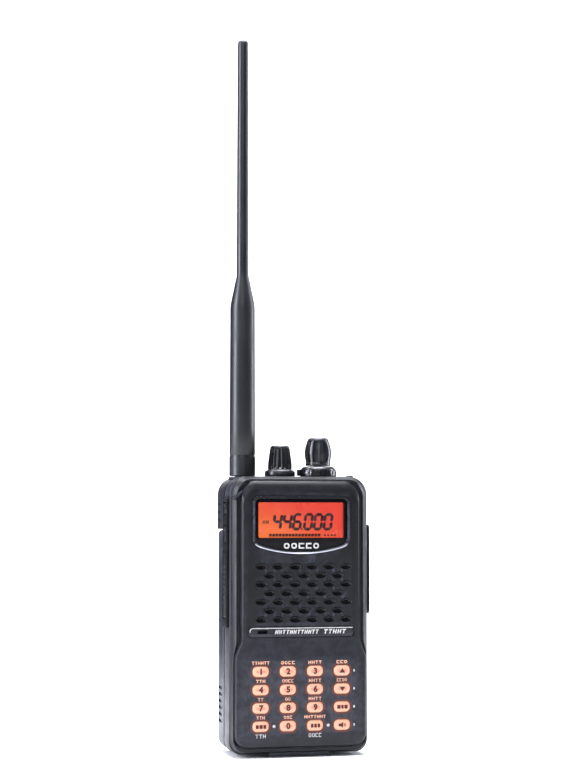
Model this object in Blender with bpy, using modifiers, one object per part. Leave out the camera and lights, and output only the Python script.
"""Handheld aviation radio with a slide-off battery pack, a belt clip and a screw-on antenna.

Sizes are in millimetres, and the mesh helpers turn them into metres. +Z is up, the front of
the radio faces -Y, and the origin is on the underside of the foot, in the middle of the width.
"""

import math

import bmesh
import bpy
from mathutils import Matrix, Vector

MM = 0.001

# Driving dimensions of the whole radio.
HEIGHT = 109.0            # foot to the top of the case
WIDTH = 58.0              # over the side pads
FRONT_Y = -15.0           # front panel
BACK_Y = 15.0             # back of the battery
FOOT_LIFT = 1.1           # case bottom above the foot
GAP = 0.3                 # clearance between pieces that meet
PAD_PROUD = 1.1           # side pads outside the case
BODY_HALF = WIDTH / 2 - PAD_PROUD
TOP_RADIUS = 7.0
BOTTOM_RADIUS = 5.0
CORNER_STEPS = 5
CORNER_FADE = 0.2         # share of an inset taken off a corner's radius

# Shells.
WALL = 1.8
EDGE_BACK = -8.0          # where the front edges reach the full width
FRONT_INSET = 5.3         # how far the front panel's edge lies inside the side
PARTING_Y = -2.2          # back edge of the front case
GASKET = 0.6
FRAME_FRONT = PARTING_Y + GASKET + 2 * GAP
FRAME_PLATE = 2.0
FRAME_BACK = FRAME_FRONT + FRAME_PLATE
BACK_INSET = 2.4          # rounding of the rear edges
BACK_ROUND = (            # inset, and share of the rounding still to go, at each ring
    (0.0, 1.0), (0.3, 0.5), (0.95, 0.15), (BACK_INSET * 0.75, 0.0))
FOOT_HALF = 12.0
FOOT_SLOPE = 1.0
FOOT_FRONT = -11.0

# Battery pack.
BATTERY_TOP = HEIGHT - 21.0
BATTERY_FRONT = FRAME_BACK + GAP
BATTERY_SIDE_STEP = 0.5   # pack inside the case sides
BATTERY_WALL = 2.0
COVER = 1.2
CELL_GAP = 2.0
CELL_MARGIN = 4.2
CELL_DEPTH = 8.4
LATCH_HALF = 8.0
LATCH_LOW = 3.4
LATCH_HEIGHT = 5.4
LATCH_TRAVEL = 1.8
LATCH_PROUD = 0.7
LATCH_DEPTH = 1.1

# Display.
WINDOW_HALF = 19.4
WINDOW_TOP = HEIGHT - 8.0
WINDOW_CORNER = HEIGHT - 27.0   # height where the lower corners start
WINDOW_DIP = 3.3          # lower edge's sag under its corners
WINDOW_THICK = 1.0
LCD_HALF = 17.2
LCD_LOW = HEIGHT - 24.1
LCD_HIGH = HEIGHT - 10.3
LCD_THICK = 1.6
LCD_MARGIN = 1.2
BACKLIGHT_THICK = 0.7

# Keypad.
KEY_COLUMNS = 4
KEY_ROWS = 4
KEY_PITCH_X = 10.83
KEY_PITCH_Z = 7.0
KEY_LOW_Z = 12.2
KEY_HALF_X = 3.3
KEY_HALF_Z = 2.05
KEY_PROUD = 0.8
KEY_FLANGE = 0.5
KEY_TRAVEL = 0.5
KEY_SIDE_GAP = 0.25
WEB_THICK = 0.6
WEB_MARGIN = 2.2
DOME_THICK = 0.25

# Speaker, microphone and name plate.
GRILLE_ROWS = 7
GRILLE_X = 1.0            # the grille and the speaker sit a little off the middle
GRILLE_PITCH_X = 6.82
GRILLE_PITCH_Z = 3.42
GRILLE_LOW_Z = 53.3
GRILLE_HOLE_HALF_X = 1.8
GRILLE_HOLE_HALF_Z = 1.1
SPEAKER_RADIUS = 14.0
SPEAKER_DEPTH = 4.6
CLOTH_THICK = 0.2
CLOTH_MARGIN = 1.2        # cloth beyond the holes
CLOTH_CORNER = 2.0
LABEL_LOW = 46.5
LABEL_HIGH = 50.4
LABEL_HALF = 21.0
LABEL_THICK = 0.5
MIC_X = -15.5
MIC_HALF_X = 1.9
MIC_HALF_Z = 0.7
MIC_RADIUS = 2.0
MIC_DEPTH = 2.0

# Boards.
BOARD_SIDE = 4.3          # board's edge inside the case side
BOARD_THICK = 1.2
BOARD_EDGE = 7.5
BOARD_CORNER = 2.0
SPEAKER_CLEAR = 1.0       # round the speaker, in the board's cut-out
SHIELD_HALF = 19.0
SHIELD_EDGE = 4.0         # can's ends inside the board's end and the speaker
SHIELD_HEIGHT = 4.0
SHIELD_WALL = 0.5

# Controls on the top, all on one line across the radio.
CONTROL_Y = 4.6
ANTENNA_X = -19.5
DIAL_X = -4.1
VOLUME_X = 11.7
BUSH_RADIUS = 3.0
SHAFT_RADIUS = 1.5
RUNNING_GAP = 0.3
ENCODER_RADIUS = 5.5
POT_RADIUS = 6.0
CAVITY_LOW = HEIGHT - 16.0
TOP_WALL = 3.0
DIAL_HEIGHT = 12.4
DIAL_SKIRT_RADIUS = 6.1
DIAL_RADIUS = 4.9
RING_HEIGHT = 4.0
RING_RADIUS = 7.5
LEVER_REACH = 8.7
LEVER_HALF = 1.1
VOLUME_HEIGHT = 11.3
VOLUME_RADIUS = 5.45
LIGHT_X = 22.0
LIGHT_Y = -6.0
LIGHT_RADIUS = 1.5
LIGHT_PROUD = 0.7

# Antenna and its socket.
ANTENNA_HEIGHT = 177.0
ANTENNA_RADIUS = 5.2
BOSS_RADIUS = 5.4         # flat seat under the antenna
BOSS_HEIGHT = 6.0
SLEEVE_TOP_RADIUS = 4.95
SLEEVE_LENGTH = 69.0
TAPER_LENGTH = 11.5
WHIP_RADIUS = 2.45
WHIP_TIP_RADIUS = 2.15
SOCKET_RADIUS = 3.7
THREAD_RADIUS = 3.1
THREAD_HEIGHT = 4.5
SOCKET_DEPTH = 10.0
SOCKET_BORE = 1.0
PIN_RADIUS = 0.55

# Side pads, buttons and jacks.
PAD_THICK = 0.7
PAD_FRONT = -10.3
PAD_BACK = PARTING_Y - 0.4
LEFT_PAD = (HEIGHT - 59.0, HEIGHT - 8.0)
RIGHT_PAD = (HEIGHT - 54.0, HEIGHT - 19.0)
BUTTON_GAP = 0.35
BUTTON_DEPTH = 2.4
PTT = (HEIGHT - 55.2, HEIGHT - 29.4)
MONITOR = (HEIGHT - 25.8, HEIGHT - 19.6)
LAMP = (HEIGHT - 14.8, HEIGHT - 10.4)
BUTTON_TRAVEL = 0.9
JACK_OPENING = (HEIGHT - 42.0, HEIGHT - 24.0)
JACK_BLOCK_DEPTH = 4.0
JACK_RADII = (1.8, 1.35)
JACK_BORE_DEPTH = 3.0
COVER_FLAP = 0.5

# Belt clip.
CLIP_HALF = 7.0
CLIP_THICK = 1.2
BELT_GAP = 5.2
CLIP_LOW = 24.0
CLIP_TAB = 5.6
HOOK_RISE = 1.4           # top of the hook's tip above the clip's low line
PIVOT_Z = HEIGHT - 10.0
PIVOT_OUT = 3.9           # pivot behind the case's back
BARREL_RADIUS = 2.3
CLIP_PIN_RADIUS = 0.8
BRACKET_LOW = HEIGHT - 18.0
BRACKET_HIGH = HEIGHT - 6.0
BRACKET_THICK = 1.0
EAR_THICK = 1.5
SPRING_WIRE = 0.25
SPRING_RADIUS = 1.3
SPRING_TURNS = 4
SPRING_RELIEF = 0.5       # how far the spring's notch runs into the blade

# Screws that hold the frame to the front case.
SCREW_X = 20.0
SCREW_Z = (20.0, BATTERY_TOP - 10.0)
SCREW_HEAD_RADIUS = 1.7
SCREW_RADIUS = 0.9
SCREW_LENGTH = 4.0

# Battery contacts.
CONTACT_X = (6.0, 19.0)
CONTACT_Z = (6.0, 12.0)

FINISHES = {
    "case_plastic": ((0.030, 0.034, 0.042), 0.42, 0.0),
    "knob_plastic": ((0.022, 0.025, 0.031), 0.38, 0.0),
    "pad_rubber": ((0.018, 0.019, 0.022), 0.65, 0.0),
    "antenna_rubber": ((0.020, 0.022, 0.027), 0.48, 0.0),
    "gasket_rubber": ((0.010, 0.010, 0.011), 0.80, 0.0),
    "frame_metal": ((0.035, 0.038, 0.045), 0.45, 0.8),
    "window_plastic": ((0.012, 0.012, 0.014), 0.08, 0.0),
    "display_glass": ((0.80, 0.10, 0.03), 0.30, 0.0),
    "light_guide": ((0.90, 0.55, 0.30), 0.35, 0.0),
    "key_silicone": ((0.90, 0.52, 0.33), 0.45, 0.0),
    "web_silicone": ((0.70, 0.35, 0.18), 0.55, 0.0),
    "board": ((0.02, 0.16, 0.07), 0.40, 0.0),
    "steel": ((0.55, 0.56, 0.58), 0.30, 1.0),
    "brass": ((0.75, 0.58, 0.25), 0.28, 1.0),
    "cloth": ((0.01, 0.01, 0.01), 0.95, 0.0),
    "cell_wrap": ((0.08, 0.16, 0.38), 0.40, 0.0),
    "lamp_lens": ((0.35, 0.45, 0.30), 0.20, 0.0),
}


# ---------------------------------------------------------------- scene and objects

def start_scene():
    """Remove what the scene holds, and make the part's and the cutters' collections."""
    for old in list(bpy.data.objects):
        bpy.data.objects.remove(old, do_unlink=True)
    made = []
    for name in ("handheld_radio", "cutters"):
        collection = bpy.data.collections.new(name)
        bpy.context.scene.collection.children.link(collection)
        made.append(collection)
    return made


PARTS, CUTTERS = start_scene()


def material_for(name, finish):
    """A Principled material with the finish's colour, roughness and metallic value."""
    colour, roughness, metallic = FINISHES[finish]
    material = bpy.data.materials.new(f"{name}_{finish}")
    material.use_nodes = True
    shader = material.node_tree.nodes["Principled BSDF"]
    shader.inputs["Base Color"].default_value = (*colour, 1.0)
    shader.inputs["Roughness"].default_value = roughness
    shader.inputs["Metallic"].default_value = metallic
    return material


def add_object(name, mesh, origin, finish, smooth_below=35.0):
    """Link a mesh as a named part, or as a cutter when it has no finish."""
    obj = bpy.data.objects.new(name, mesh)
    obj.location = Vector(origin) * MM
    if finish is None:
        CUTTERS.objects.link(obj)
        obj.hide_render = True
        obj.display_type = "WIRE"
        return obj
    PARTS.objects.link(obj)
    if not mesh.materials:
        mesh.materials.append(material_for(name, finish))
    if mesh.polygons:
        mesh.shade_smooth()
        mesh.set_sharp_from_angle(angle=math.radians(smooth_below))
    return obj


def mesh_from(bm, name, origin=(0, 0, 0)):
    """Turn a bmesh in millimetres into a mesh in metres whose zero is the origin given."""
    bmesh.ops.translate(bm, verts=bm.verts, vec=-Vector(origin))
    bmesh.ops.scale(bm, verts=bm.verts, vec=(MM, MM, MM))
    mesh = bpy.data.meshes.new(name)
    bm.to_mesh(mesh)
    bm.free()
    return mesh


def boolean(obj, cutter, operation="DIFFERENCE"):
    """Cut or join with the exact solver."""
    modifier = obj.modifiers.new(cutter.name, "BOOLEAN")
    modifier.operation = operation
    modifier.solver = "EXACT"
    modifier.object = cutter
    return obj


# ---------------------------------------------------------------- shapes

def rounded(u_low, u_high, v_low, v_high, radius, steps=3):
    """Outline of a rectangle with round corners, counter-clockwise."""
    centres = (
        (u_high - radius, v_low + radius, -90),
        (u_high - radius, v_high - radius, 0),
        (u_low + radius, v_high - radius, 90),
        (u_low + radius, v_low + radius, 180),
    )
    points = []
    for u, v, start in centres:
        for step in range(steps + 1):
            angle = math.radians(start + 90 * step / steps)
            points.append((u + radius * math.cos(angle), v + radius * math.sin(angle)))
    return points


def circle(u, v, radius, sides=16):
    """Outline of a circle, counter-clockwise."""
    angles = (math.tau * side / sides for side in range(sides))
    return [(u + radius * math.cos(a), v + radius * math.sin(a)) for a in angles]


def case_outline(inset=0.0, bottom_inset=0.0, top_inset=0.0, foot=False):
    """Front view of the case: big top corners, small bottom corners, and the foot's step."""
    half = BODY_HALF - inset
    low = FOOT_LIFT + bottom_inset
    high = HEIGHT - top_inset
    low_radius = BOTTOM_RADIUS - bottom_inset * CORNER_FADE
    high_radius = TOP_RADIUS - inset * CORNER_FADE
    corners = (
        (half - low_radius, low + low_radius, low_radius, -90),
        (half - high_radius, high - high_radius, high_radius, 0),
        (-half + high_radius, high - high_radius, high_radius, 90),
        (-half + low_radius, low + low_radius, low_radius, 180),
    )
    points = []
    for x, z, radius, start in corners:
        for step in range(CORNER_STEPS + 1):
            angle = math.radians(start + 90 * step / CORNER_STEPS)
            points.append((x + radius * math.cos(angle), z + radius * math.sin(angle)))
    if foot:
        edge = FOOT_HALF + FOOT_SLOPE
        points += [(-edge, low), (-FOOT_HALF, 0.0), (FOOT_HALF, 0.0), (edge, low)]
    return points


def window_outline(grow=0.0):
    """Display window: straight sides, a flat top and a lower edge that sags in the middle."""
    half = WINDOW_HALF + grow
    top = WINDOW_TOP + grow
    corner = WINDOW_CORNER - grow
    radius = 2.2
    points = []
    for x, z, start in ((half - radius, top - radius, 0), (-half + radius, top - radius, 90)):
        for step in range(4):
            angle = math.radians(start + 30 * step)
            points.append((x + radius * math.cos(angle), z + radius * math.sin(angle)))
    for step in range(9):
        share = -1 + step / 4
        points.append((share * (half - 0.6), corner - WINDOW_DIP * (1 - share * share)))
    return points


def plate(name, loops, start, end, normal="Y", origin=(0, 0, 0), finish=None):
    """A flat piece between two planes. Further loops are holes.

    With normal Y the loops are (x, z), with normal X (y, z), and with normal Z (x, y).
    """
    curve = bpy.data.curves.new(name, "CURVE")
    curve.dimensions = "2D"
    curve.fill_mode = "BOTH"
    curve.extrude = abs(end - start) / 2 * MM
    for loop in loops:
        spline = curve.splines.new("POLY")
        spline.points.add(len(loop) - 1)
        for point, (u, v) in zip(spline.points, loop):
            point.co = (u * MM, v * MM, 0.0, 1.0)
        spline.use_cyclic_u = True
    flat = bpy.data.objects.new(name + "_outline", curve)
    CUTTERS.objects.link(flat)
    bpy.context.view_layer.update()
    graph = bpy.context.evaluated_depsgraph_get()
    filled = bpy.data.meshes.new_from_object(flat.evaluated_get(graph))
    bpy.data.objects.remove(flat, do_unlink=True)
    bm = bmesh.new()
    bm.from_mesh(filled)
    bpy.data.meshes.remove(filled)
    bmesh.ops.remove_doubles(bm, verts=bm.verts, dist=1e-7)
    middle = (start + end) / 2 * MM
    turns = {
        "Y": Matrix(((1, 0, 0, 0), (0, 0, -1, middle), (0, 1, 0, 0), (0, 0, 0, 1))),
        "X": Matrix(((0, 0, 1, middle), (1, 0, 0, 0), (0, 1, 0, 0), (0, 0, 0, 1))),
        "Z": Matrix(((1, 0, 0, 0), (0, 1, 0, 0), (0, 0, 1, middle), (0, 0, 0, 1))),
    }
    bmesh.ops.transform(bm, matrix=turns[normal], verts=bm.verts)
    bmesh.ops.scale(bm, verts=bm.verts, vec=(1 / MM, 1 / MM, 1 / MM))
    bmesh.ops.recalc_face_normals(bm, faces=bm.faces)
    return add_object(name, mesh_from(bm, name, origin), origin, finish)


def block(name, low, high, bevel=0.0, origin=(0, 0, 0), finish=None):
    """A box between two corners, with its edges broken when a bevel is given."""
    bm = bmesh.new()
    size = Vector(high) - Vector(low)
    middle = (Vector(high) + Vector(low)) / 2
    matrix = Matrix.Translation(middle) @ Matrix.Diagonal((*size, 1.0))
    bmesh.ops.create_cube(bm, size=1.0, matrix=matrix)
    obj = add_object(name, mesh_from(bm, name, origin), origin, finish)
    if bevel:
        modifier = obj.modifiers.new("edges", "BEVEL")
        modifier.width = bevel * MM
        modifier.segments = 2
        modifier.limit_method = "ANGLE"
    return obj


def loft(name, rings, caps=(True, True), origin=(0, 0, 0), finish=None):
    """A skin over rings of the same number of points, with flat ends where caps say so."""
    bm = bmesh.new()
    rows = [[bm.verts.new(point) for point in ring] for ring in rings]
    count = len(rows[0])
    for near, far in zip(rows, rows[1:]):
        for index in range(count):
            after = (index + 1) % count
            bm.faces.new((near[index], near[after], far[after], far[index]))
    if caps[0]:
        bm.faces.new(rows[0][::-1])
    if caps[1]:
        bm.faces.new(rows[-1])
    bmesh.ops.recalc_face_normals(bm, faces=bm.faces)
    return add_object(name, mesh_from(bm, name, origin), origin, finish)


def turned(name, profile, centre, closed=False, steps=20, finish=None):
    """A turned piece about a vertical axis: (radius, height) points down its outer side."""
    base = centre[2] if len(centre) > 2 else 0.0
    bm = bmesh.new()
    verts = [bm.verts.new((radius, 0.0, height - base)) for radius, height in profile]
    for near, far in zip(verts, verts[1:]):
        bm.edges.new((near, far))
    if closed:
        bm.edges.new((verts[-1], verts[0]))
    mesh = mesh_from(bm, name)
    obj = add_object(name, mesh, (centre[0], centre[1], base), finish)
    screw = obj.modifiers.new("turn", "SCREW")
    screw.axis = "Z"
    screw.angle = math.tau
    screw.steps = steps
    screw.render_steps = steps
    screw.use_merge_vertices = True
    screw.merge_threshold = 0.000005
    screw.use_smooth_shade = True
    return obj


def rod(name, start, end, radius, sides=16, origin=None, finish=None):
    """A straight round bar between two points."""
    start = Vector(start)
    end = Vector(end)
    run = end - start
    turn = run.to_track_quat("Z", "Y").to_matrix().to_4x4()
    matrix = Matrix.Translation((start + end) / 2) @ turn
    bm = bmesh.new()
    bmesh.ops.create_cone(
        bm, cap_ends=True, segments=sides, radius1=radius, radius2=radius,
        depth=run.length, matrix=matrix)
    place = origin or (0, 0, 0)
    return add_object(name, mesh_from(bm, name, place), place, finish)


def joined(name, pieces):
    """One cutter out of several that don't touch each other."""
    bm = bmesh.new()
    for piece in pieces:
        scratch = piece.data.copy()
        scratch.transform(Matrix.Translation(piece.location))
        bm.from_mesh(scratch)
        bpy.data.meshes.remove(scratch)
        bpy.data.objects.remove(piece, do_unlink=True)
    mesh = bpy.data.meshes.new(name)
    bm.to_mesh(mesh)
    bm.free()
    return add_object(name, mesh, (0, 0, 0), None)


def at_depth(outline, y):
    """Stand a front-view outline up at one depth."""
    return [(x, y, z) for x, z in outline]


# ---------------------------------------------------------------- front case

SHELL_BACK = FRONT_Y + WALL              # inner face of the front wall
KEY_BACK = SHELL_BACK + 0.2 + KEY_FLANGE
WEB_FRONT = KEY_BACK + KEY_TRAVEL + GAP
DOME_FRONT = WEB_FRONT + WEB_THICK + GAP
BOARD_FRONT = DOME_FRONT + DOME_THICK + GAP
BOARD_BACK = BOARD_FRONT + BOARD_THICK
TOP_INSET = FRONT_INSET * 0.55
BOTTOM_INSET = FRONT_INSET * 0.7


def front_rings():
    """Rings from the parting line to the front panel, drawn in along a round edge."""
    depth = EDGE_BACK - FRONT_Y
    rings = [at_depth(case_outline(), PARTING_Y)]
    for step in range(6):
        angle = math.radians(90 * step / 5)
        share = 1 - math.cos(angle) ** 1.2
        y = EDGE_BACK - depth * math.sin(angle)
        outline = case_outline(FRONT_INSET * share, BOTTOM_INSET * share, TOP_INSET * share)
        rings.append(at_depth(outline, y))
    return rings


def key_centres():
    """Name and centre of each key, row by row from the top left."""
    names = (
        ("key_1", "key_2", "key_3", "key_up"),
        ("key_4", "key_5", "key_6", "key_down"),
        ("key_7", "key_8", "key_9", "key_menu"),
        ("key_mode", "key_0", "key_band", "key_call"),
    )
    for row in range(KEY_ROWS):
        for column in range(KEY_COLUMNS):
            x = (column - (KEY_COLUMNS - 1) / 2) * KEY_PITCH_X
            z = KEY_LOW_Z + (KEY_ROWS - 1 - row) * KEY_PITCH_Z
            yield names[row][column], x, z


def grille_centres():
    """Centres of the grille's holes: six and five to a row by turns."""
    for row in range(GRILLE_ROWS):
        holes = 6 if row % 2 == 0 else 5
        for hole in range(holes):
            x = GRILLE_X + (hole - (holes - 1) / 2) * GRILLE_PITCH_X
            yield x, GRILLE_LOW_Z + row * GRILLE_PITCH_Z


def key_outline(x, z, grow=0.0):
    """A long oval round one key."""
    return rounded(
        x - KEY_HALF_X - grow, x + KEY_HALF_X + grow,
        z - KEY_HALF_Z - grow, z + KEY_HALF_Z + grow,
        KEY_HALF_Z + grow - 0.05)


def make_front_case():
    """Front shell with its openings, and the foot under it."""
    case = loft("front_case", front_rings(), caps=(False, True), finish="case_plastic")
    shell = case.modifiers.new("wall", "SOLIDIFY")
    shell.thickness = WALL * MM
    shell.offset = -1.0
    shell.use_even_offset = True

    foot = block(
        "foot_join", (-FOOT_HALF, FOOT_FRONT, 0.0),
        (FOOT_HALF, PARTING_Y, FOOT_LIFT + WALL * 0.5))
    boolean(case, foot, "UNION")

    out = FRONT_Y - 2.0
    inside = SHELL_BACK + 2.0
    holes = []
    for name, x, z in key_centres():
        holes.append(plate(name + "_hole", [key_outline(x, z, KEY_SIDE_GAP)], out, inside))
    for index, (x, z) in enumerate(grille_centres()):
        outline = rounded(
            x - GRILLE_HOLE_HALF_X, x + GRILLE_HOLE_HALF_X,
            z - GRILLE_HOLE_HALF_Z, z + GRILLE_HOLE_HALF_Z, GRILLE_HOLE_HALF_Z * 0.8, 1)
        holes.append(plate(f"grille_hole_{index}", [outline], out, inside))
    mic_z = (LABEL_LOW + LABEL_HIGH) / 2
    holes.append(block(
        "mic_hole", (MIC_X - MIC_HALF_X, out, mic_z - MIC_HALF_Z),
        (MIC_X + MIC_HALF_X, inside, mic_z + MIC_HALF_Z)))
    holes.append(block(
        "lcd_hole", (-LCD_HALF, out, LCD_LOW), (LCD_HALF, inside, LCD_HIGH)))
    boolean(case, joined("panel_holes", holes))

    seat = plate("window_seat", [window_outline(GAP)], out, FRONT_Y + WINDOW_THICK + GAP)
    boolean(case, seat)
    label = plate(
        "label_seat",
        [rounded(-LABEL_HALF - GAP, LABEL_HALF + GAP, LABEL_LOW - GAP, LABEL_HIGH + GAP, 1.6)],
        out, FRONT_Y + LABEL_THICK + GAP)
    boolean(case, label)

    side = BODY_HALF + 2.0
    sides = []
    for name, (low, high) in (("ptt", PTT), ("monitor", MONITOR), ("lamp", LAMP)):
        y_front, y_back = button_depths()
        sides.append(block(
            name + "_hole", (-side, y_front - BUTTON_GAP, low - BUTTON_GAP),
            (-BODY_HALF + BUTTON_DEPTH + 2.0, y_back + BUTTON_GAP, high + BUTTON_GAP)))
    y_front, y_back = jack_depths()
    sides.append(block(
        "jack_hole", (BODY_HALF - JACK_BLOCK_DEPTH - 1.0, y_front - GAP, JACK_OPENING[0] - 1.0 - GAP),
        (side, y_back + GAP, JACK_OPENING[1] + 1.0 + GAP)))
    boolean(case, joined("side_holes", sides))

    light = rod(
        "light_hole", (LIGHT_X, LIGHT_Y, HEIGHT - 2 * TOP_RADIUS), (LIGHT_X, LIGHT_Y, HEIGHT + 2),
        LIGHT_RADIUS + GAP, 12)
    boolean(case, light)
    return case


def make_display():
    """Window, liquid-crystal panel and the plate that lights it."""
    plate(
        "display_window", [window_outline()], FRONT_Y + 0.05, FRONT_Y + WINDOW_THICK,
        finish="window_plastic")
    low = LCD_LOW - LCD_MARGIN
    high = LCD_HIGH + LCD_MARGIN
    half = LCD_HALF + LCD_MARGIN
    front = SHELL_BACK + GAP
    back = front + LCD_THICK
    block("lcd_panel", (-half, front, low), (half, back, high), finish="display_glass")
    block(
        "backlight_plate", (-half, back + GAP, low), (half, back + GAP + BACKLIGHT_THICK, high),
        finish="light_guide")


def make_speaker():
    """Speaker with its cloth, the microphone and the name plate."""
    middle_z = GRILLE_LOW_Z + (GRILLE_ROWS - 1) / 2 * GRILLE_PITCH_Z
    half_z = (GRILLE_ROWS - 1) / 2 * GRILLE_PITCH_Z + GRILLE_HOLE_HALF_Z + CLOTH_MARGIN
    half_x = 2.5 * GRILLE_PITCH_X + GRILLE_HOLE_HALF_X + CLOTH_MARGIN
    cloth_front = SHELL_BACK + GAP
    plate(
        "speaker_cloth",
        [rounded(GRILLE_X - half_x, GRILLE_X + half_x, middle_z - half_z, middle_z + half_z,
                 CLOTH_CORNER, 2)],
        cloth_front, cloth_front + CLOTH_THICK, finish="cloth")

    front = cloth_front + CLOTH_THICK + GAP
    radius = SPEAKER_RADIUS
    profile = (
        (0.0, 0.0), (radius * 0.35, -0.4), (radius * 0.86, 0.9), (radius * 0.92, 0.0),
        (radius, 0.0), (radius, -1.2), (radius * 0.62, -2.6), (radius * 0.62, -SPEAKER_DEPTH),
        (0.0, -SPEAKER_DEPTH))
    lowered = [(r, h - 0.9) for r, h in profile]
    speaker = turned("speaker", lowered, (GRILLE_X, front, 0.0), steps=20, finish="steel")
    speaker.location = Vector((GRILLE_X, front, middle_z)) * MM
    speaker.rotation_euler = (math.radians(90), 0.0, 0.0)

    mic_z = (LABEL_LOW + LABEL_HIGH) / 2
    rod(
        "microphone", (MIC_X, cloth_front, mic_z), (MIC_X, cloth_front + MIC_DEPTH, mic_z),
        MIC_RADIUS, 16, finish="steel")
    plate(
        "label_bar",
        [rounded(-LABEL_HALF, LABEL_HALF, LABEL_LOW, LABEL_HIGH, 1.5),
         rounded(MIC_X - MIC_HALF_X, MIC_X + MIC_HALF_X, mic_z - MIC_HALF_Z, mic_z + MIC_HALF_Z,
                 0.3, 1)],
        FRONT_Y + 0.02, FRONT_Y + LABEL_THICK, finish="case_plastic")


def make_keypad():
    """Sixteen keys, the web behind them and the sheet of snap domes."""
    flange = KEY_FLANGE
    front = FRONT_Y - KEY_PROUD
    steps = (
        (flange, KEY_BACK), (flange, KEY_BACK - KEY_FLANGE), (0.0, KEY_BACK - KEY_FLANGE),
        (0.0, front + 0.55), (-0.35, front + 0.15), (-1.0, front))
    mesh = None
    for name, x, z in key_centres():
        origin = (x, FRONT_Y, z)
        if mesh is None:
            rings = [at_depth(key_outline(x, z, grow), y) for grow, y in steps]
            mesh = loft(name, rings, origin=origin, finish="key_silicone").data
        else:
            add_object(name, mesh, origin, "key_silicone")

    half_x = (KEY_COLUMNS - 1) / 2 * KEY_PITCH_X + KEY_HALF_X + WEB_MARGIN
    low = KEY_LOW_Z - KEY_HALF_Z - WEB_MARGIN
    high = KEY_LOW_Z + (KEY_ROWS - 1) * KEY_PITCH_Z + KEY_HALF_Z + WEB_MARGIN
    outline = rounded(-half_x, half_x, low, high, 2.0)
    plate("keypad_web", [outline], WEB_FRONT, WEB_FRONT + WEB_THICK, finish="web_silicone")
    plate("dome_sheet", [outline], DOME_FRONT, DOME_FRONT + DOME_THICK, finish="steel")


def make_boards():
    """Main board with a cut-out for the speaker, and the screening can behind it."""
    middle_z = GRILLE_LOW_Z + (GRILLE_ROWS - 1) / 2 * GRILLE_PITCH_Z
    low = FOOT_LIFT + BOARD_EDGE
    high = HEIGHT - BOARD_EDGE
    hole = circle(GRILLE_X, middle_z, SPEAKER_RADIUS + SPEAKER_CLEAR, 24)
    window = rounded(
        -LCD_HALF - LCD_MARGIN - GAP, LCD_HALF + LCD_MARGIN + GAP,
        LCD_LOW - LCD_MARGIN - GAP, LCD_HIGH + LCD_MARGIN + GAP, 0.5, 1)
    half = BODY_HALF - BOARD_SIDE
    outline = rounded(-half, half, low, high, BOARD_CORNER)
    plate("main_board", [outline, hole, window], BOARD_FRONT, BOARD_BACK, finish="board")

    front = BOARD_BACK + GAP
    low = FOOT_LIFT + BOARD_EDGE + SHIELD_EDGE
    high = middle_z - SPEAKER_RADIUS - SHIELD_EDGE
    can = block(
        "rf_shield", (-SHIELD_HALF, front, low), (SHIELD_HALF, front + SHIELD_HEIGHT, high),
        finish="steel")
    hollow = block(
        "shield_hollow", (-SHIELD_HALF + SHIELD_WALL, front - 1.0, low + SHIELD_WALL),
        (SHIELD_HALF - SHIELD_WALL, front + SHIELD_HEIGHT - SHIELD_WALL, high - SHIELD_WALL))
    boolean(can, hollow)


# ---------------------------------------------------------------- rear frame and battery

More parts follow.
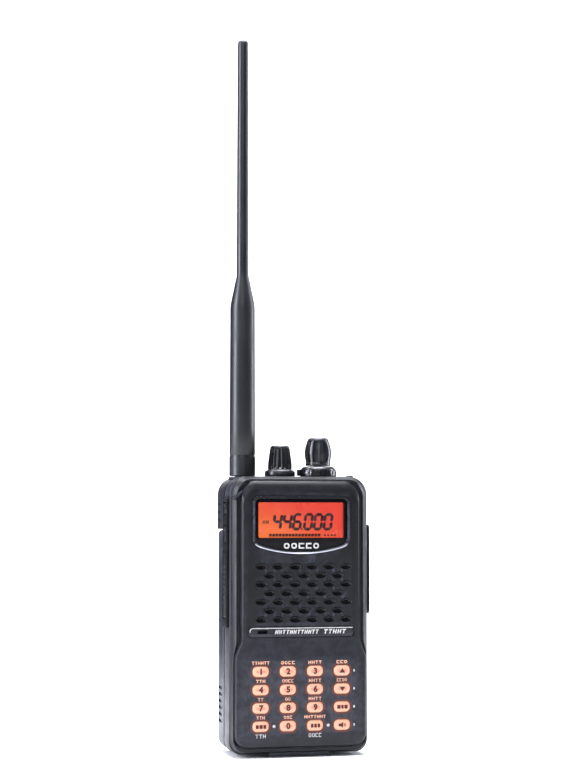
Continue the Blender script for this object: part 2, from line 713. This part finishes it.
def make_rear_frame():
    """Cast frame: a plate behind the radio, and a full-depth block above the battery."""
    rings = [at_depth(case_outline(foot=True), FRAME_FRONT)]
    for inset, left in BACK_ROUND:
        outline = case_outline(inset, inset, inset, foot=True)
        rings.append(at_depth(outline, BACK_Y - BACK_INSET * left))
    frame = loft("rear_frame", rings, finish="frame_metal")

    boss = rod(
        "boss_join", (ANTENNA_X, CONTROL_Y, HEIGHT - BOSS_HEIGHT), (ANTENNA_X, CONTROL_Y, HEIGHT),
        BOSS_RADIUS, 24)
    boolean(frame, boss, "UNION")
    bay = block(
        "battery_bay", (-WIDTH, FRAME_BACK, -5.0), (WIDTH, BACK_Y + 5.0, BATTERY_TOP + GAP))
    boolean(frame, bay)
    top = HEIGHT + 2.0
    cavity = block(
        "control_cavity",
        (DIAL_X - ENCODER_RADIUS - 1.0, FRAME_FRONT - 1.0, CAVITY_LOW),
        (VOLUME_X + POT_RADIUS + 1.0, CONTROL_Y + POT_RADIUS + 1.0, HEIGHT - TOP_WALL))
    boolean(frame, cavity)
    bores = [
        rod(f"bore_{x}", (x, CONTROL_Y, HEIGHT - TOP_WALL - 1.0), (x, CONTROL_Y, top),
            BUSH_RADIUS + GAP, 20)
        for x in (DIAL_X, VOLUME_X)]
    bores.append(rod(
        "socket_bore", (ANTENNA_X, CONTROL_Y, HEIGHT - SOCKET_DEPTH), (ANTENNA_X, CONTROL_Y, top),
        SOCKET_RADIUS + GAP, 20))
    boolean(frame, joined("top_bores", bores))

    holes = []
    for x, z in screw_places():
        holes.append(rod(
            f"screw_hole_{z}", (x, FRAME_FRONT - 1, z), (x, FRAME_BACK + 1, z),
            SCREW_RADIUS + GAP, 12))
        holes.append(rod(
            f"screw_sink_{z}", (x, FRAME_BACK - 1.0, z), (x, FRAME_BACK + 1, z),
            SCREW_HEAD_RADIUS + GAP, 12))
    for hole in holes:
        boolean(frame, hole)
    contact = block(
        "contact_hole", (CONTACT_X[0] - GAP, FRAME_FRONT - 1, CONTACT_Z[0] - GAP),
        (CONTACT_X[1] + GAP, FRAME_BACK + 1, CONTACT_Z[1] + GAP))
    boolean(frame, contact)

    # The gasket is a rim between the shell and the frame, drawn in behind their edges.
    plate(
        "case_gasket", [case_outline(0.5, 0.5, 0.5), case_outline(WALL, WALL, WALL)],
        PARTING_Y + GAP, PARTING_Y + GAP + GASKET, finish="gasket_rubber")
    block(
        "contact_block", (CONTACT_X[0], FRAME_FRONT - 2.0, CONTACT_Z[0]),
        (CONTACT_X[1], FRAME_BACK, CONTACT_Z[1]), bevel=0.3, finish="brass")


def screw_places():
    """Centres of the case screws."""
    return [(-SCREW_X, SCREW_Z[0]), (SCREW_X, SCREW_Z[1])]


def make_screws():
    """Countersunk case screws, turned, with their heads in the back of the frame."""
    for index, (x, z) in enumerate(screw_places(), start=1):
        profile = (
            (0.0, 0.0), (SCREW_HEAD_RADIUS, 0.0), (SCREW_HEAD_RADIUS, -0.7),
            (SCREW_RADIUS, -0.7), (SCREW_RADIUS, -SCREW_LENGTH), (0.0, -SCREW_LENGTH))
        screw = turned(f"case_screw_{index}", profile, (x, 0.0, 0.0), steps=12, finish="steel")
        screw.location = Vector((x, FRAME_BACK, z)) * MM
        screw.rotation_euler = (math.radians(-90), 0.0, 0.0)


def battery_outline(inset=0.0):
    """Front view of the pack: square shoulders under the block, and the case's foot."""
    half = BODY_HALF - BATTERY_SIDE_STEP - inset
    low = FOOT_LIFT + inset
    radius = BOTTOM_RADIUS
    shoulder = 1.5
    corners = (
        (half - radius, low + radius, radius, -90),
        (half - shoulder, BATTERY_TOP - inset - shoulder, shoulder, 0),
        (-half + shoulder, BATTERY_TOP - inset - shoulder, shoulder, 90),
        (-half + radius, low + radius, radius, 180),
    )
    points = []
    for x, z, bend, start in corners:
        for step in range(CORNER_STEPS + 1):
            angle = math.radians(start + 90 * step / CORNER_STEPS)
            points.append((x + bend * math.cos(angle), z + bend * math.sin(angle)))
    edge = FOOT_HALF + FOOT_SLOPE
    return points + [(-edge, low), (-FOOT_HALF, inset), (FOOT_HALF, inset), (edge, low)]


def make_battery():
    """Pack: a deep shell, its cover, two flat cells, the contacts and the latch."""
    shell_front = BATTERY_FRONT + COVER + GAP
    rings = [at_depth(battery_outline(), shell_front)]
    for inset, left in BACK_ROUND:
        rings.append(at_depth(battery_outline(inset), BACK_Y - BACK_INSET * left))
    case = loft("battery_case", rings, caps=(False, True), finish="case_plastic")
    shell = case.modifiers.new("wall", "SOLIDIFY")
    shell.thickness = BATTERY_WALL * MM
    shell.offset = -1.0
    shell.use_even_offset = True

    pocket = block(
        "latch_pocket",
        (-LATCH_HALF - GAP, BACK_Y - LATCH_DEPTH - GAP, LATCH_LOW - GAP),
        (LATCH_HALF + GAP, BACK_Y + 2.0, LATCH_LOW + LATCH_HEIGHT + LATCH_TRAVEL + GAP))
    boolean(case, pocket)

    contacts = rounded(
        CONTACT_X[0] - GAP, CONTACT_X[1] + GAP, CONTACT_Z[0] - GAP, CONTACT_Z[1] + GAP, 0.3, 1)
    plate(
        "battery_cover", [battery_outline(), contacts], BATTERY_FRONT, BATTERY_FRONT + COVER,
        finish="case_plastic")
    block(
        "battery_terminals", (CONTACT_X[0], BATTERY_FRONT + 0.1, CONTACT_Z[0]),
        (CONTACT_X[1], BATTERY_FRONT + COVER, CONTACT_Z[1]), bevel=0.2, finish="brass")

    half = BODY_HALF - BATTERY_SIDE_STEP
    for index, side in enumerate((-1, 1), start=1):
        xs = sorted((side * CELL_GAP / 2, side * (half - CELL_MARGIN)))
        block(
            f"battery_cell_{index}",
            (xs[0], shell_front + 0.4, FOOT_LIFT + CELL_MARGIN + 2.0),
            (xs[1], shell_front + 0.4 + CELL_DEPTH, BATTERY_TOP - CELL_MARGIN),
            bevel=1.0, finish="cell_wrap")

    block(
        "battery_latch",
        (-LATCH_HALF, BACK_Y - LATCH_DEPTH, LATCH_LOW),
        (LATCH_HALF, BACK_Y + LATCH_PROUD, LATCH_LOW + LATCH_HEIGHT),
        bevel=0.5, origin=(0.0, BACK_Y, LATCH_LOW), finish="knob_plastic")


# ---------------------------------------------------------------- top controls

def make_dial():
    """Tuning encoder in the frame, its shaft and the fluted dial."""
    top = HEIGHT + GAP
    bush_top = top + 3.0
    bore = SHAFT_RADIUS + RUNNING_GAP
    body_top = HEIGHT - TOP_WALL - GAP
    profile = (
        (BUSH_RADIUS, bush_top), (BUSH_RADIUS, body_top), (ENCODER_RADIUS, body_top),
        (ENCODER_RADIUS, CAVITY_LOW + 3.0), (0.0, CAVITY_LOW + 3.0), (0.0, CAVITY_LOW + 4.0),
        (bore, CAVITY_LOW + 4.0), (bore, bush_top))
    turned_ring("dial_encoder", profile, (DIAL_X, CONTROL_Y), "steel")
    shaft_top = top + DIAL_HEIGHT - 2.0
    turned(
        "dial_shaft",
        ((0.0, shaft_top), (SHAFT_RADIUS, shaft_top), (SHAFT_RADIUS, CAVITY_LOW + 4.0 + GAP),
         (0.0, CAVITY_LOW + 4.0 + GAP)),
        (DIAL_X, CONTROL_Y, HEIGHT), steps=16, finish="brass")

    high = top + DIAL_HEIGHT
    hub = BUSH_RADIUS + RUNNING_GAP
    profile = (
        (0.0, high), (2.9, high), (3.5, high - 0.4), (4.0, high - 1.6),
        (DIAL_RADIUS - 0.1, high - 7.4), (DIAL_RADIUS, top + 2.9),
        (DIAL_SKIRT_RADIUS - 0.4, top + 2.4), (DIAL_SKIRT_RADIUS, top + 1.8),
        (DIAL_SKIRT_RADIUS, top), (hub, top), (hub, bush_top + GAP), (bore, bush_top + GAP),
        (bore, shaft_top + GAP), (0.0, shaft_top + GAP))
    turned("dial_knob", profile, (DIAL_X, CONTROL_Y, HEIGHT), steps=24, finish="knob_plastic")


def turned_ring(name, profile, centre, finish):
    """A turned piece whose profile ends where its blind bore leaves the axis."""
    on_axis = [index for index, point in enumerate(profile) if point[0] == 0.0]
    start = on_axis[-1]
    ordered = profile[start:] + profile[:on_axis[0] + 1]
    return turned(name, ordered, centre, steps=20, finish=finish)


def make_volume():
    """Volume control in the frame, its shaft and knob, and the squelch ring round it."""
    top = HEIGHT + GAP
    ring_top = top + RING_HEIGHT
    bush_top = ring_top
    bore = SHAFT_RADIUS + RUNNING_GAP
    body_top = HEIGHT - TOP_WALL - GAP
    profile = (
        (BUSH_RADIUS, bush_top), (BUSH_RADIUS, body_top), (POT_RADIUS, body_top),
        (POT_RADIUS, CAVITY_LOW + 2.0), (0.0, CAVITY_LOW + 2.0), (0.0, CAVITY_LOW + 3.0),
        (bore, CAVITY_LOW + 3.0), (bore, bush_top))
    turned_ring("volume_pot", profile, (VOLUME_X, CONTROL_Y), "steel")

    knob_low = ring_top + GAP
    high = knob_low + VOLUME_HEIGHT
    shaft_top = high - 2.0
    turned(
        "volume_shaft",
        ((0.0, shaft_top), (SHAFT_RADIUS, shaft_top), (SHAFT_RADIUS, CAVITY_LOW + 3.0 + GAP),
         (0.0, CAVITY_LOW + 3.0 + GAP)),
        (VOLUME_X, CONTROL_Y, HEIGHT), steps=16, finish="brass")
    profile = (
        (0.0, high), (3.3, high), (4.0, high - 0.5), (4.5, high - 1.8),
        (VOLUME_RADIUS, high - 5.4), (VOLUME_RADIUS, high - 7.4), (4.9, knob_low + 1.6),
        (5.1, knob_low), (bore, knob_low), (bore, shaft_top + GAP), (0.0, shaft_top + GAP))
    turned(
        "volume_knob", profile, (VOLUME_X, CONTROL_Y, HEIGHT), steps=24, finish="knob_plastic")

    hub = BUSH_RADIUS + RUNNING_GAP
    profile = (
        (RING_RADIUS - 1.2, ring_top), (RING_RADIUS - 0.3, ring_top - 0.7),
        (RING_RADIUS, top + 1.4), (RING_RADIUS, top), (hub, top), (hub, ring_top))
    ring = turned(
        "squelch_ring", profile, (VOLUME_X, CONTROL_Y, HEIGHT), closed=True, steps=24,
        finish="knob_plastic")
    lever = block(
        "lever_join", (VOLUME_X - LEVER_REACH, CONTROL_Y - LEVER_HALF, top + 0.2),
        (VOLUME_X - RING_RADIUS + 1.5, CONTROL_Y + LEVER_HALF, ring_top - 1.2))
    boolean(ring, lever, "UNION")


def make_antenna():
    """Threaded socket in the frame, the plug's inner part and the antenna itself."""
    top = HEIGHT + GAP
    thread_top = HEIGHT + THREAD_HEIGHT
    bore_low = thread_top - 4.0
    low = HEIGHT - SOCKET_DEPTH + GAP
    turned(
        "antenna_socket",
        ((0.0, bore_low), (SOCKET_BORE, bore_low), (SOCKET_BORE, thread_top),
         (THREAD_RADIUS, thread_top), (THREAD_RADIUS, HEIGHT), (SOCKET_RADIUS, HEIGHT),
         (SOCKET_RADIUS, low), (0.0, low)),
        (ANTENNA_X, CONTROL_Y), steps=20, finish="brass")

    plug_low = thread_top + GAP
    plug_high = plug_low + 2.0
    pin_low = bore_low + 1.0
    turned(
        "antenna_plug",
        ((0.0, plug_high), (THREAD_RADIUS, plug_high), (THREAD_RADIUS, plug_low),
         (PIN_RADIUS, plug_low), (PIN_RADIUS, pin_low), (0.0, pin_low)),
        (ANTENNA_X, CONTROL_Y, HEIGHT), steps=16, finish="brass")

    well = THREAD_RADIUS + 0.4
    sleeve_top = HEIGHT + SLEEVE_LENGTH
    taper_top = sleeve_top + TAPER_LENGTH
    high = HEIGHT + ANTENNA_HEIGHT
    profile = (
        (0.0, high), (WHIP_TIP_RADIUS * 0.6, high - 0.3), (WHIP_TIP_RADIUS, high - 1.6),
        (WHIP_RADIUS, taper_top), (SLEEVE_TOP_RADIUS, sleeve_top),
        (ANTENNA_RADIUS, top + 8.0), (ANTENNA_RADIUS, top), (well, top),
        (well, plug_high + GAP), (0.0, plug_high + GAP))
    turned("antenna", profile, (ANTENNA_X, CONTROL_Y, HEIGHT), steps=20, finish="antenna_rubber")


def make_status_light():
    """Small lamp lens on the top, right of the knobs."""
    high = HEIGHT + LIGHT_PROUD
    low = HEIGHT - WALL - 1.0
    profile = (
        (0.0, high), (LIGHT_RADIUS * 0.6, high - 0.1), (LIGHT_RADIUS, high - 0.5),
        (LIGHT_RADIUS, low), (0.0, low))
    turned("status_light", profile, (LIGHT_X, LIGHT_Y), steps=12, finish="lamp_lens")


# ---------------------------------------------------------------- sides

PAD_INNER = WIDTH / 2 - 0.1 - PAD_THICK


def button_depths():
    """Front and back of the side buttons."""
    return PAD_FRONT + 0.6, PAD_BACK - 0.6


def jack_depths():
    """Front and back of the jack block where it passes the case wall."""
    return PAD_FRONT + 0.9, PAD_BACK - 0.9


def make_left_side():
    """Pad with the talk button, the monitor button and the lamp button in it."""
    y_front, y_back = button_depths()
    loops = [rounded(PAD_FRONT, PAD_BACK, LEFT_PAD[0], LEFT_PAD[1], 1.6)]
    spans = (("ptt_button", PTT), ("monitor_button", MONITOR), ("lamp_button", LAMP))
    for name, (low, high) in spans:
        loops.append(rounded(
            y_front - BUTTON_GAP * 0.7, y_back + BUTTON_GAP * 0.7,
            low - BUTTON_GAP * 0.7, high + BUTTON_GAP * 0.7, 0.6, 1))
        outer = WIDTH / 2 if name == "ptt_button" else WIDTH / 2 - 0.05
        block(
            name, (-outer, y_front, low), (-BODY_HALF + BUTTON_DEPTH - 0.6, y_back, high),
            bevel=0.45, origin=(-outer, (y_front + y_back) / 2, (low + high) / 2),
            finish="pad_rubber")
    plate(
        "left_pad", loops, -PAD_INNER - PAD_THICK, -PAD_INNER, normal="X", finish="pad_rubber")


def make_right_side():
    """Pad and jack block in one piece, and the cover over the two jacks."""
    y_front, y_back = jack_depths()
    low, high = JACK_OPENING
    seat = PAD_INNER - 0.1
    jacks = plate(
        "jack_block", [rounded(PAD_FRONT, PAD_BACK, RIGHT_PAD[0], RIGHT_PAD[1], 1.6)],
        PAD_INNER, PAD_INNER + PAD_THICK, normal="X", finish="pad_rubber")
    body = block(
        "jack_body_join", (BODY_HALF - JACK_BLOCK_DEPTH, y_front, low - 1.0),
        (PAD_INNER + 0.3, y_back, high + 1.0))
    boolean(jacks, body, "UNION")
    recess = block(
        "flap_recess", (seat, y_front + 0.6, low), (WIDTH / 2 + 2.0, y_back - 0.6, high))
    boolean(jacks, recess)
    middle_y = (y_front + y_back) / 2
    bores = []
    for index, radius in enumerate(JACK_RADII):
        z = low + (high - low) * (0.3 + 0.45 * index)
        bores.append(rod(
            f"jack_bore_{index}", (seat - JACK_BORE_DEPTH, middle_y, z), (seat + 1.0, middle_y, z),
            radius, 16))
    boolean(jacks, joined("jack_bores", bores))

    pivot = (WIDTH / 2 - 0.1 - COVER_FLAP / 2, middle_y, low + GAP + COVER_FLAP / 2)
    block(
        "jack_cover",
        (pivot[0] - COVER_FLAP / 2, y_front + 0.6 + GAP, low + GAP),
        (pivot[0] + COVER_FLAP / 2, y_back - 0.6 - GAP, high - GAP),
        bevel=0.15, origin=pivot, finish="pad_rubber")


# ---------------------------------------------------------------- belt clip

PIVOT_Y = BACK_Y + PIVOT_OUT


def clip_outline():
    """Side view of the clip: thumb tab, barrel round the pin, blade and the hooked end."""
    inner = BACK_Y + BELT_GAP
    outer = inner + CLIP_THICK
    tip = BACK_Y + 0.5
    points = [(outer, PIVOT_Z - 4.0), (outer, PIVOT_Z + CLIP_TAB), (inner, PIVOT_Z + CLIP_TAB)]
    reach = math.degrees(math.acos(min(0.95, (inner - PIVOT_Y) / BARREL_RADIUS)))
    reach = max(reach, 30.0)
    for step in range(11):
        angle = math.radians(reach + (360 - 2 * reach) * step / 10)
        points.append((
            PIVOT_Y + BARREL_RADIUS * math.cos(angle), PIVOT_Z + BARREL_RADIUS * math.sin(angle)))
    points += [
        (inner, PIVOT_Z - BARREL_RADIUS - 0.8), (inner, CLIP_LOW + 6.0),
        (inner - 1.2, CLIP_LOW + 3.0), (tip, CLIP_LOW + HOOK_RISE), (tip, CLIP_LOW + 0.4),
        (inner - 0.6, CLIP_LOW - 0.6), (outer + 0.4, CLIP_LOW + 0.2), (outer, CLIP_LOW + 6.0)]
    return points


def make_clip():
    """Bracket with two ears, pin, coil spring and the clip that swings on the pin."""
    ear_in = CLIP_HALF + GAP
    ear_out = ear_in + EAR_THICK
    plate_back = BACK_Y + GAP + BRACKET_THICK
    bracket = block(
        "clip_bracket", (-ear_out, BACK_Y + GAP, BRACKET_LOW), (ear_out, plate_back, BRACKET_HIGH),
        finish="steel")
    pin_bore = CLIP_PIN_RADIUS + GAP
    for side in (-1, 1):
        xs = sorted((side * ear_in, side * ear_out))
        ear = block(
            f"ear_join_{side}", (xs[0], plate_back - 0.5, PIVOT_Z - 2.4),
            (xs[1], PIVOT_Y + 2.0, PIVOT_Z + 2.4))
        boolean(bracket, ear, "UNION")
    reach = ear_out + 1.0
    boolean(bracket, rod(
        "bracket_bore", (-reach, PIVOT_Y, PIVOT_Z), (reach, PIVOT_Y, PIVOT_Z), pin_bore, 16))

    rod("clip_pin", (-ear_out, PIVOT_Y, PIVOT_Z), (ear_out, PIVOT_Y, PIVOT_Z), CLIP_PIN_RADIUS,
        14, finish="steel")

    pivot = (0.0, PIVOT_Y, PIVOT_Z)
    clip = plate(
        "belt_clip", [clip_outline(), circle(PIVOT_Y, PIVOT_Z, pin_bore, 16)],
        -CLIP_HALF, CLIP_HALF, normal="X", origin=pivot, finish="knob_plastic")
    spring_room = SPRING_TURNS + 1.0
    notch = block(
        "spring_notch", (CLIP_HALF - spring_room, BACK_Y, PIVOT_Z - BARREL_RADIUS - 0.7),
        (CLIP_HALF + 1.0, BACK_Y + BELT_GAP + SPRING_RELIEF, PIVOT_Z + BARREL_RADIUS + 0.7))
    boolean(clip, notch)

    curve = bpy.data.curves.new("clip_spring", "CURVE")
    curve.dimensions = "3D"
    curve.bevel_depth = SPRING_WIRE * MM
    curve.bevel_resolution = 2
    curve.use_fill_caps = True
    per_turn = 12
    count = SPRING_TURNS * per_turn + 1
    spline = curve.splines.new("POLY")
    spline.points.add(count - 1)
    start_x = CLIP_HALF - spring_room + 0.5 + SPRING_WIRE
    pitch = 0.9
    for index, point in enumerate(spline.points):
        angle = math.tau * index / per_turn
        x = start_x + pitch * index / per_turn
        y = PIVOT_Y + SPRING_RADIUS * math.cos(angle)
        z = PIVOT_Z + SPRING_RADIUS * math.sin(angle)
        point.co = (x * MM, y * MM, z * MM, 1.0)
    spring = bpy.data.objects.new("clip_spring", curve)
    curve.materials.append(material_for("clip_spring", "steel"))
    PARTS.objects.link(spring)


make_front_case()
make_display()
make_speaker()
make_keypad()
make_boards()
make_rear_frame()
make_screws()
make_battery()
make_dial()
make_volume()
make_antenna()
make_status_light()
make_left_side()
make_right_side()
make_clip()
